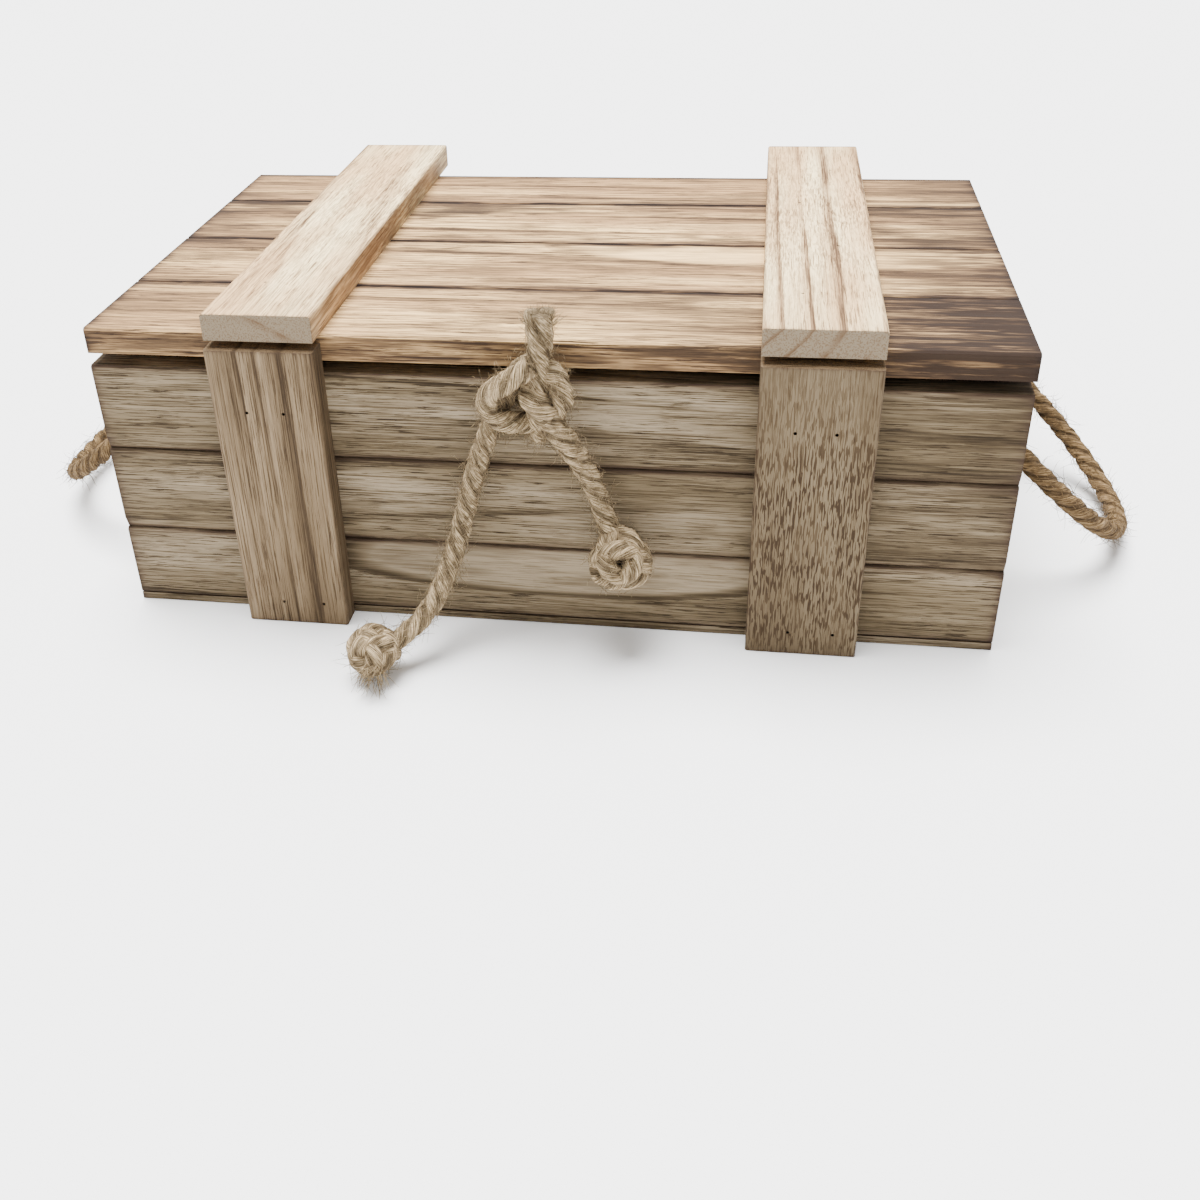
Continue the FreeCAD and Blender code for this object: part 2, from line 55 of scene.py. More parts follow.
def makeCamera(values):
    turn, down, roll = (math.radians(values[name]) for name in ("azimuth", "down", "roll"))
    ahead = Vector((math.sin(turn) * math.cos(down), math.cos(turn) * math.cos(down),
                    -math.sin(down)))
    level = Vector((math.cos(turn), -math.sin(turn), 0))
    above = level.cross(ahead)
    right = level * math.cos(roll) + above * math.sin(roll)
    up = above * math.cos(roll) - level * math.sin(roll)
    bpy.ops.object.camera_add(location=values["place"])
    camera = bpy.context.object
    camera.name = "camera"
    camera.rotation_mode = "QUATERNION"
    camera.rotation_quaternion = Matrix((right, up, -ahead)).transposed().to_quaternion()
    camera.data.sensor_width = 36
    camera.data.lens = values["lens"]
    camera.data.shift_x, camera.data.shift_y = values["shift"]
    camera.data.clip_start = 0.01
    bpy.context.scene.camera = camera


makeCamera(cameraValues)
print("camera made")


# Node helpers. A value is either a plain number, colour or vector, or another node's output.
def plug(tree, value, socket):
    if isinstance(value, bpy.types.NodeSocket):
        tree.links.new(value, socket)
    else:
        socket.default_value = value


def put(tree, kind, inputs, **settings):
    made = tree.nodes.new(kind)
    for name, value in settings.items():
        setattr(made, name, value)
    for name, value in inputs.items():
        plug(tree, value, made.inputs[name])
    return made


def maths(tree, operation, *values):
    return put(tree, "ShaderNodeMath", dict(enumerate(values)), operation=operation).outputs[0]


def vectorMaths(tree, operation, *values):
    return put(tree, "ShaderNodeVectorMath", dict(enumerate(values)),
               operation=operation).outputs[0]


def blend(tree, amount, first, second, mode="MIX"):
    made = put(tree, "ShaderNodeMix", {0: amount, 6: first, 7: second}, data_type="RGBA",
               blend_type=mode)
    return made.outputs[2]


def spread(tree, value, low, high, outLow=0.0, outHigh=1.0):
    inputs = {0: value, 1: low, 2: high, 3: outLow, 4: outHigh}
    return put(tree, "ShaderNodeMapRange", inputs, clamp=True,
               interpolation_type="SMOOTHSTEP").outputs[0]


def ramp(tree, value, stops):
    made = put(tree, "ShaderNodeValToRGB", {0: value})
    while len(made.color_ramp.elements) < len(stops):
        made.color_ramp.elements.new(1.0)
    for element, (place, shade) in zip(made.color_ramp.elements, stops):
        element.position = place
        element.color = shade if isinstance(shade, tuple) else (shade, shade, shade, 1)
    return made.outputs[0]


def cloud(tree, where, detail=3.0, roughness=0.55, distortion=0.0):
    inputs = {"Vector": where, "Scale": 1.0, "Detail": detail, "Roughness": roughness,
              "Distortion": distortion}
    return put(tree, "ShaderNodeTexNoise", inputs).outputs[0]


def paint(red, green, blue):
    parts = [value / 255 for value in (red, green, blue)]
    return tuple(v / 12.92 if v <= 0.04045 else ((v + 0.055) / 1.055) ** 2.4 for v in parts) + (1,)


def newMaterial(name):
    material = bpy.data.materials.new(name)
    material.use_nodes = True
    return material, material.node_tree, material.node_tree.nodes["Principled BSDF"]


def dress(thing, material):
    thing.data.materials.clear()
    thing.data.materials.append(material)


# Rope. Its routes are the ones that the CAD tubes follow, in metres.
ropeValues = {
    "diameter": 0.008,
    "lay": -0.029,         # length of one turn of a strand; negative turns to the left
    "strandOut": 0.38,      # a strand's middle off the rope's line, in rope radii
    "strandThick": 0.64,    # a strand's own radius, in rope radii
    "sides": 12,
    "step": 0.0006,
}
routes = {
    "tieEnd": [
        (0.0015, -0.105, 0.087), (0.0016, -0.1116, 0.0878), (0.002, -0.1166, 0.0928),
        (0.0025, -0.1182, 0.1004),
        (0.003, -0.1179, 0.1095), (0.0035, -0.1168, 0.1186), (0.0039, -0.1163, 0.1275),
        (0.0043, -0.1164, 0.1363),
    ],
    "rightTail": [
        (0.0052, -0.1206, 0.1018), (0.0096, -0.121, 0.0945), (0.0145, -0.1192, 0.086),
        (0.0188, -0.116, 0.0765),
        (0.0223, -0.1138, 0.066), (0.0252, -0.1138, 0.0555), (0.0286, -0.1162, 0.0465),
    ],
    "leftTail": [
        (-0.0126, -0.1154, 0.0995), (-0.0157, -0.1146, 0.0901), (-0.0198, -0.1136, 0.0805),
        (-0.0236, -0.1131, 0.0683), (-0.0271, -0.113, 0.0552), (-0.03, -0.1153, 0.0446),
        (-0.0329, -0.1192, 0.0356), (-0.0359, -0.1243, 0.0279), (-0.0394, -0.1298, 0.0217),
        (-0.044, -0.1349, 0.0172), (-0.0491, -0.1394, 0.014), (-0.0545, -0.1432, 0.0121),
    ],
    "lidLoop": [
        (-0.006, -0.076, 0.1079), (-0.0064, -0.087, 0.1083), (-0.0065, -0.098, 0.1085),
        (-0.0065, -0.1055, 0.1085),
        (-0.0065, -0.1088, 0.1052), (-0.0065, -0.1088, 0.1004), (-0.0018, -0.1088, 0.0957),
        (0.0048, -0.1088, 0.0957), (0.0095, -0.1088, 0.1004), (0.0095, -0.1088, 0.1052),
        (0.0095, -0.1055, 0.1085), (0.0095, -0.098, 0.1085), (0.0094, -0.087, 0.1083),
        (0.009, -0.076, 0.1079),
    ],
    "handleHalf": [(0.0, 0.050), (0.017, 0.052), (0.036, 0.051), (0.055, 0.045), (0.0705, 0.032),
                   (0.0805, 0.012)],
}


def smoothRoute(points, resolution=24):
    curve = bpy.data.curves.new("route", "CURVE")
    curve.dimensions = "3D"
    curve.resolution_u = resolution
    spline = curve.splines.new("NURBS")
    spline.points.add(len(points) - 1)
    for point, place in zip(spline.points, points):
        point.co = (*place, 1)
    spline.order_u = 3
    spline.use_endpoint_u = True
    thing = bpy.data.objects.new("route", curve)
    bpy.context.collection.objects.link(thing)
    line = bpy.data.meshes.new_from_object(thing)
    path = [vertex.co.copy() for vertex in line.vertices]
    bpy.data.objects.remove(thing)
    bpy.data.meshes.remove(line)
    return path


def evenly(path, step):
    lengths = [(b - a).length for a, b in zip(path, path[1:])]
    total = sum(lengths)
    count = max(4, round(total / step))
    places = []
    run = 0
    walked = 0.0
    for index in range(count + 1):
        target = total * index / count
        while run < len(lengths) - 1 and walked + lengths[run] < target:
            walked += lengths[run]
            run += 1
        share = min(1.0, (target - walked) / max(lengths[run], 1e-9))
        places.append(path[run].lerp(path[run + 1], share))
    return places, total


def carried(path):
    tangents = []
    for index in range(len(path)):
        ahead = path[min(index + 1, len(path) - 1)] - path[max(index - 1, 0)]
        tangents.append(ahead.normalized())
    side = tangents[0].orthogonal().normalized()
    frames = []
    for tangent in tangents:
        side = (side - tangent * side.dot(tangent)).normalized()
        frames.append((tangent, side, tangent.cross(side)))
    return frames


def tubeMesh(rings, closed, uvRows, verts, faces, uvs):
    first = len(verts)
    sides = len(rings[0])
    for ring in rings:
        verts.extend(ring)
    for row in range(len(rings) - 1):
        for side in range(sides):
            after = (side + 1) % sides
            low = first + row * sides
            high = low + sides
            faces.append((low + side, low + after, high + after, high + side))
            uvs.append(((uvRows[row][0], side * uvRows[row][1]),
                        (uvRows[row][0], (side + 1) * uvRows[row][1]),
                        (uvRows[row + 1][0], (side + 1) * uvRows[row + 1][1]),
                        (uvRows[row + 1][0], side * uvRows[row + 1][1])))
    if closed:
        for row, flip in ((0, True), (len(rings) - 1, False)):
            low = first + row * sides
            cap = tuple(low + side for side in range(sides))
            faces.append(cap[::-1] if flip else cap)
            uvs.append(tuple((uvRows[row][0], side * uvRows[row][1]) for side in range(sides)))


def meshPiece(name, verts, faces, uvs, outward=None):
    mesh = bpy.data.meshes.new(name)
    mesh.from_pydata([tuple(v) for v in verts], [], faces)
    layer = mesh.uv_layers.new(name="UVMap")
    for polygon, corners in zip(mesh.polygons, uvs):
        for loop, corner in zip(polygon.loop_indices, corners):
            layer.data[loop].uv = corner
        polygon.use_smooth = True
    facing = mesh.attributes.new("outward", "FLOAT",
                                 "POINT")      # 1 on the rope's outside, -1 at its core
    facing.data.foreach_set("value", outward or [1.0] * len(verts))
    mesh.update()
    piece = bpy.data.objects.new(name, mesh)
    bpy.context.collection.objects.link(piece)
    return piece


def twistedRope(name, path, values, girth=None, turn=0.0, openEnd=0.0):
    places, total = evenly(path, values["step"])
    frames = carried(places)
    radius = values["diameter"] / 2
    verts, faces, uvs, outward = [], [], [], []
    for strand in range(3):
        rings, rows = [], []
        for index, (place, (along, side, over)) in enumerate(zip(places, frames)):
            share = index / (len(places) - 1)
            scale = girth(share) if girth else 1.0
            angle = turn + math.tau * (strand / 3 + share * total / values["lay"])
            away = side * math.cos(angle) + over * math.sin(angle)
            across = along.cross(away)
            middle = place + away * radius * values["strandOut"] * scale * (1 + openEnd * max(0.0,
                    share - 0.75) * 4)
            thick = radius * values["strandThick"] * scale
            wobble = 1 + 0.05 * math.sin(share * total * 1400 + strand * 2.1)
            ring = []
            for corner in range(values["sides"]):
                spin = math.tau * corner / values["sides"]
                ring.append(middle + (away * math.cos(spin) * 0.94
                                      + across * math.sin(spin) * 1.04) * thick * wobble)
            rings.append(ring)
            rows.append((share * total * 100, thick * math.tau / values["sides"] * 100))
            outward += [math.cos(math.tau * corner / values["sides"])
                        for corner in range(values["sides"])]
        tubeMesh(rings, True, rows, verts, faces, uvs)
    piece = meshPiece(name, verts, faces, uvs, outward)
    return piece, places


def strayFibres(name, path, values):
    dice = random.Random(values["seed"])
    places, _ = evenly(path, 0.001)
    frames = carried(places)
    verts, faces, uvs = [], [], []
    for hair in range(values["count"]):
        index = dice.randrange(len(places))
        along, side, over = frames[index]
        angle = dice.uniform(0, math.tau)
        away = side * math.cos(angle) + over * math.sin(angle)
        across = along.cross(away)
        lean = dice.choice((-1, 1)) * along * dice.uniform(0.5, 1.3) + across * dice.uniform(-0.8,
                0.8)
        heading = (lean + away * dice.uniform(0.15, values["lift"])).normalized()
        place = places[index] + away * values["radius"] * 0.9
        length = dice.uniform(*values["length"])
        curl = Vector([dice.uniform(-1, 1) for _ in range(3)]) * 0.35 - away * 0.12
        rings, rows = [], []
        for part in range(5):
            thick = values["thick"] * (1 - 0.16 * part)
            sideways = heading.orthogonal().normalized()
            upwards = heading.cross(sideways)
            rings.append([place + (sideways * math.cos(a) + upwards * math.sin(a)) * thick
                          for a in (0, math.tau / 3, 2 * math.tau / 3)])
            rows.append((part * length * 25, 0.02))
            place = place + heading * length / 4
            place.z = max(place.z, values["lowest"])
            heading = (heading + curl).normalized()
        tubeMesh(rings, True, rows, verts, faces, uvs)
    return meshPiece(name, verts, faces, uvs)


juteValues = {
    "dark": paint(54, 43, 29),
    "middle": paint(134, 114, 85),
    "light": paint(216, 192, 152),
    "yarnAngle": 20,        # degrees between a strand's length and its fibres
    "roughness": 0.9,
    "bump": 1.0,
}


def juteMaterial(name, values):
    material, tree, shader = newMaterial(name)
    where = put(tree, "ShaderNodeTexCoord", {}).outputs["UV"]
    turned = put(tree, "ShaderNodeMapping",
                 {"Vector": where, "Rotation": (0, 0, math.radians(values["yarnAngle"]))})
    turned = turned.outputs[0]
    fibres = cloud(tree, vectorMaths(tree, "MULTIPLY", turned, (4, 52, 1)), 4, 0.65)
    yarns = cloud(tree, vectorMaths(tree, "MULTIPLY", turned, (1.6, 17, 1)), 2, 0.5)
    space = put(tree, "ShaderNodeTexCoord", {}).outputs["Object"]
    patches = cloud(tree, vectorMaths(tree, "MULTIPLY", space, (260, 260, 260)), 3, 0.6)
    mixed = maths(tree, "ADD", maths(tree, "MULTIPLY", fibres, 0.55),
                  maths(tree, "MULTIPLY", yarns, 0.45))
    tone = ramp(tree, mixed, [(0.41, values["dark"]), (0.495, values["middle"]),
                              (0.59, values["light"])])
    tone = blend(tree, spread(tree, patches, 0.4, 0.7, 0.0, 0.5), tone, values["dark"])
    # painted shade: the jute is darkened where a strand's surface turns in towards the rope's core, in the
    # crevices between the strands
    outward = put(tree, "ShaderNodeAttribute", {}, attribute_name="outward").outputs["Fac"]
    tone = blend(tree, spread(tree, outward, 0.7, 0.2, 0.0, 0.6), tone, values["dark"])
    plug(tree, tone, shader.inputs["Base Color"])
    shader.inputs["Roughness"].default_value = values["roughness"]
    shader.inputs["Specular IOR Level"].default_value = 0.15
    bump = put(tree, "ShaderNodeBump",
               {"Height": mixed, "Strength": values["bump"], "Distance": 0.0006})
    plug(tree, bump.outputs[0], shader.inputs["Normal"])
    return material


handleJuteValues = dict(juteValues, dark=paint(40, 29, 17), middle=paint(98, 77, 50),
                        light=paint(158, 130, 92))
jute = juteMaterial("juteFibre", juteValues)
handleJute = juteMaterial("handleJuteFibre", handleJuteValues)
print("jute ready")


def freeCord(name, route, body, standsFor, values, girth=None, turn=0.0, openEnd=0.0):
    path = smoothRoute(route)
    piece, _ = twistedRope(name, path, values, girth, turn, openEnd)
    dress(piece, jute)
    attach(piece, body)
    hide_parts(standsFor)
    return piece, path


def ropePiece(name, path, body, values, girth=None, turn=0.0):
    piece, _ = twistedRope(name, path, values, girth, turn)
    dress(piece, jute)
    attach(piece, body)
    return piece


def fuzz(name, path, body, values):
    piece = strayFibres(name, path, values)
    dress(piece, jute)
    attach(piece, body)
    return piece


fuzzValues = {
    "seed": 3,
    "count": 260,
    "lift": 0.9,
    "radius": 0.004,
    "length": (0.003, 0.009),
    "thick": 0.00012,
    "lowest": 0.0004,       # no fibre goes below this height
}
brushValues = {
    "seed": 7,
    "count": 150,
    "mouth": 0.0034,        # radius of the cord's cut end
    "spread": 0.75,         # how far the fibres lean outwards
    "length": (0.005, 0.011),
    "thick": 0.00016,
    "lowest": 0.0004,
}


def frayedEnd(name, place, heading, body, values):
    dice = random.Random(values["seed"])
    heading = Vector(heading).normalized()
    side = heading.orthogonal().normalized()
    over = heading.cross(side)
    verts, faces, uvs = [], [], []
    for hair in range(values["count"]):
        angle = dice.uniform(0, math.tau)
        reach = math.sqrt(dice.random())
        outwards = side * math.cos(angle) + over * math.sin(angle)
        spot = Vector(place) + outwards * reach * values["mouth"]
        way = (heading + outwards * reach * values["spread"] * dice.uniform(0.3, 1.3)).normalized()
        curl = Vector([dice.uniform(-1, 1) for _ in range(3)]) * 0.16
        length = dice.uniform(*values["length"])
        rings, rows = [], []
        for part in range(6):
            thick = values["thick"] * (1 - 0.13 * part)
            sideways = way.orthogonal().normalized()
            upwards = way.cross(sideways)
            rings.append([spot + (sideways * math.cos(a) + upwards * math.sin(a)) * thick
                          for a in (0, math.tau / 3, 2 * math.tau / 3)])
            rows.append((hair * 0.37 + part * length * 20, 0.03))
            spot = spot + way * length / 5
            spot.z = max(spot.z, values["lowest"])
            way = (way + curl).normalized()
        tubeMesh(rings, True, rows, verts, faces, uvs)
    piece = meshPiece(name, verts, faces, uvs)
    dress(piece, jute)
    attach(piece, body)
    return piece



handleValues = {"droop": {-1: 38.0, 1: 44.0}, "axisReach": 0.1744, "axisHeight": 0.062,
                "middle": -0.004}


def handleRoute(side, values):
    droop = math.radians(values["droop"][side])
    flat = [(reach, -across) for reach, across in routes["handleHalf"]]
    flat += [(reach, across) for reach, across in reversed(routes["handleHalf"])]
    return [(side * (values["axisReach"] + reach * math.cos(droop)), values["middle"] + across,
             values["axisHeight"] - reach * math.sin(droop)) for reach, across in flat]


knotValues = {"turns": 2.7, "ball": 0.0078, "tilt": 58.0, "sweep": 0.85, "entry": 0.0095,
              "seed": 5}


def ballKnot(name, centre, axis, body, standsFor, values, ropeShape, size=1.0, turn=0.0):
    axis = Vector(axis).normalized()
    side = axis.orthogonal().normalized()
    over = axis.cross(side)
    centre = Vector(centre)
    tilt = math.radians(values["tilt"])
    points = [centre - axis * values["entry"] * size,
              centre - axis * values["entry"] * 0.55 * size]
    count = 30
    for index in range(count + 1):
        share = index / count
        swing = turn + math.tau * values["sweep"] * share
        normal = axis * math.cos(tilt) + (side * math.cos(swing)
                                          + over * math.sin(swing)) * math.sin(tilt)
        first = (axis - normal * axis.dot(normal)).normalized()
        angle = math.pi + math.tau * values["turns"] * share
        points.append(centre + (first * math.cos(angle) + normal.cross(first) * math.sin(angle))
                      * values["ball"] * size)
    points.append(centre + axis * values["ball"] * 0.8 * size)
    path = smoothRoute(points, 10)
    piece = ropePiece(name, path, body, ropeShape, turn=turn)
    if standsFor:
        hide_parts(standsFor)
    hair = fuzz(name + "Fuzz", path, body, dict(fuzzValues, seed=values["seed"], count=260))
    return piece, hair


for side, label in ((-1, "left"), (1, "right")):
    body = label + "_handle"
    made, path = freeCord(label + "HandleRope", handleRoute(side, handleValues), body,
                          "handle_" + label, ropeValues,
                          turn=0.7 * side)
    hair = fuzz(label + "HandleFuzz", path, body, dict(fuzzValues, seed=11 + side, count=700))
    dress(made, handleJute)
    dress(hair, handleJute)
    for end, across in (("Front", -0.054), ("Rear", 0.046)):
        rootPath = [Vector((side * x, across, 0.062)) for x in (0.158, 0.164, 0.170, 0.1752)]
        root = ropePiece(label + end + "Root", rootPath, "box", ropeValues)
        dress(root, handleJute)
        ballKnot(label + end + "Knot", (side * 0.1515, across, 0.062), (-side, 0, 0), "box",
                 "handle_knot_%s_%s" % (label, end.lower()), knotValues, ropeValues, 0.72)
print("handles made")

tieValues = {"stubFlare": 0.2, "stubGirth": 1.1, "tailSwell": 0.25}


def stubGirth(share):
    return tieValues["stubGirth"] + tieValues["stubFlare"] * max(0.0, share - 0.55)


def tailGirth(share):
    return 1.0 + tieValues["tailSwell"] * max(0.0, 1 - share * 1.6)


tieEnd, tieEndPath = freeCord("tieCordEnd", routes["tieEnd"], "box", "tie_cord_end",
                              dict(ropeValues, lay=-0.046),
                              stubGirth, 0.4, 0.5)
rightTail, rightPath = freeCord("rightTail", routes["rightTail"], "box", "tie_tail_right",
                                ropeValues,
                                tailGirth,
                                0.3)
leftTail, leftPath = freeCord("leftTail", routes["leftTail"], "box", "tie_tail_left", ropeValues,
                              turn=1.1)
fuzz("rightTailFuzz", rightPath, "box", dict(fuzzValues, seed=21, count=330))
fuzz("leftTailFuzz", leftPath, "box", dict(fuzzValues, seed=22, count=520))
fuzz("tieEndFuzz", tieEndPath, "box", dict(fuzzValues, seed=23, count=260))
loopCord, loopPath = freeCord("lidLoopCord", routes["lidLoop"], "lid", "lid_loop",
                              dict(ropeValues, diameter=0.004, lay=-0.012))

# The knot round the cord's end, from the left tail's top round to the upright end.
frontKnotRoute = [
    (-0.0130, -0.1150, 0.0975), (-0.0098, -0.1128, 0.1035), (-0.0062, -0.1128, 0.1110),
    (-0.0005, -0.1140, 0.1165),
    (0.0065, -0.1160, 0.1160), (0.0112, -0.1180, 0.1100), (0.0112, -0.1185, 0.1025),
    (0.0060, -0.1165, 0.0962),
    (-0.0020, -0.1175, 0.0950), (-0.0090, -0.1195, 0.0960), (-0.0148, -0.1200, 0.1000),
    (-0.0150, -0.1205, 0.1058),
    (-0.0105, -0.1210, 0.1105), (-0.0045, -0.1200, 0.1135), (0.0010, -0.1190, 0.1180),
]
knotPath = smoothRoute(frontKnotRoute)
tieKnot = ropePiece("tieKnotRope", knotPath, "box", dict(ropeValues, diameter=0.0086), turn=0.5)
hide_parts("tie_knot")
fuzz("tieKnotFuzz", knotPath, "box", dict(fuzzValues, seed=24, count=520))
tailRootPath = smoothRoute([(0.0000, -0.1150, 0.1075), (0.0008, -0.1195, 0.1065),
                            (0.0030, -0.1215, 0.1040),
                            (0.0068, -0.1213, 0.0995)])
ropePiece("rightTailRoot", tailRootPath, "box", dict(ropeValues, diameter=0.0102), turn=0.3)
frayedEnd("tieCordBrush", tieEndPath[-1] - Vector((0, 0, 0.0055)), (0.05, 0.1, 1), "box",
          dict(brushValues, spread=1.15, length=(0.0045, 0.0085)))
frayedEnd("leftTailTuft", (-0.0572, -0.1525, 0.0095), (0.12, -0.97, -0.2), "box",
          dict(brushValues, seed=9, count=90, spread=0.6, length=(0.006, 0.013)))
ballKnot("rightTailKnot", (0.0312, -0.1184, 0.0406), (0.1, -0.9, 0.35), "box", "tail_knot_right",
         knotValues,
         ropeValues, 1.2, 2.0)
frayedEnd("rightKnotEnd", (0.0322, -0.1271, 0.0441), (0.1, -0.9, 0.35), "box",
          dict(brushValues, seed=12, count=80, spread=1.4, length=(0.0025, 0.005)))
ballKnot("leftTailKnot", (-0.0588, -0.1452, 0.0112), (-0.2, -0.9, 0.3), "box", "tail_knot_left",
         knotValues,
         ropeValues, 0.9, 0.6)
ballKnot("stopperKnot", (0.0015, -0.0865, 0.087), (0, 1, 0), "box", "tie_stopper_knot", knotValues,
         ropeValues, 0.72)
print("cords made")

# Wood. Every board is cut from its own place in a log: rings about a pith that runs along the
# grain.
woodValues = {
    "pith": (-30.0, -60.0),     # millimetres from the board's middle, across and through it
    "taper": 0.02,              # the pith's drift across, per millimetre along
    "ring": 7.0,                # millimetres between rings
    "swing": 7.0,               # long waves in the rings
    "ripple": 0.8,              # short waves
    "lines": 0.95,              # strength of the dark ring lines
    "bands": 0.5,               # strength of the brown that gathers before each ring line
    "hairs": 0.55,              # long thin streaks
    "threads": 0.3,             # thin lines everywhere
    "dashes": 0.5,              # short thin marks
    "flecks": 0.0,              # broad short marks
    "crowded": (0.0, 150.0),    # where along the board they crowd, and how far they reach from there
    "patches": 0.3,             # torched patches
    "lens": (),                 # pale oval with a brown rim: middle along and across, reaches, rim strength
    "ends": (1.5, 0.9, 1.5, 0.9),   # dark outline at the two ends: reach in millimetres, strength
    "scorch": (30.0, 0.1, 30.0, 0.1),   # wider scorching at the two ends
    "edges": (0.9, 0.75),       # dark outline along the two long edges
    "joined": "both",           # which long edges carry that outline: both, or only the high one
    "sides": 0.2,               # how brown the narrow faces are; on the lid planks and lid battens this is painted shade on their upright edges
    "pale": paint(214, 196, 164),
    "tan": paint(186, 160, 124),
    "brown": paint(118, 87, 56),
    "burnt": paint(50, 36, 26),
    "bump": 0.3,
    "seed": 0,
}


stainPower = 4.0        # the stains are mixed in a flattened scale, so that half a stain looks half as dark


def thinned(colour):
    return tuple(channel ** (1 / stainPower) for channel in colour[:3]) + (1,)


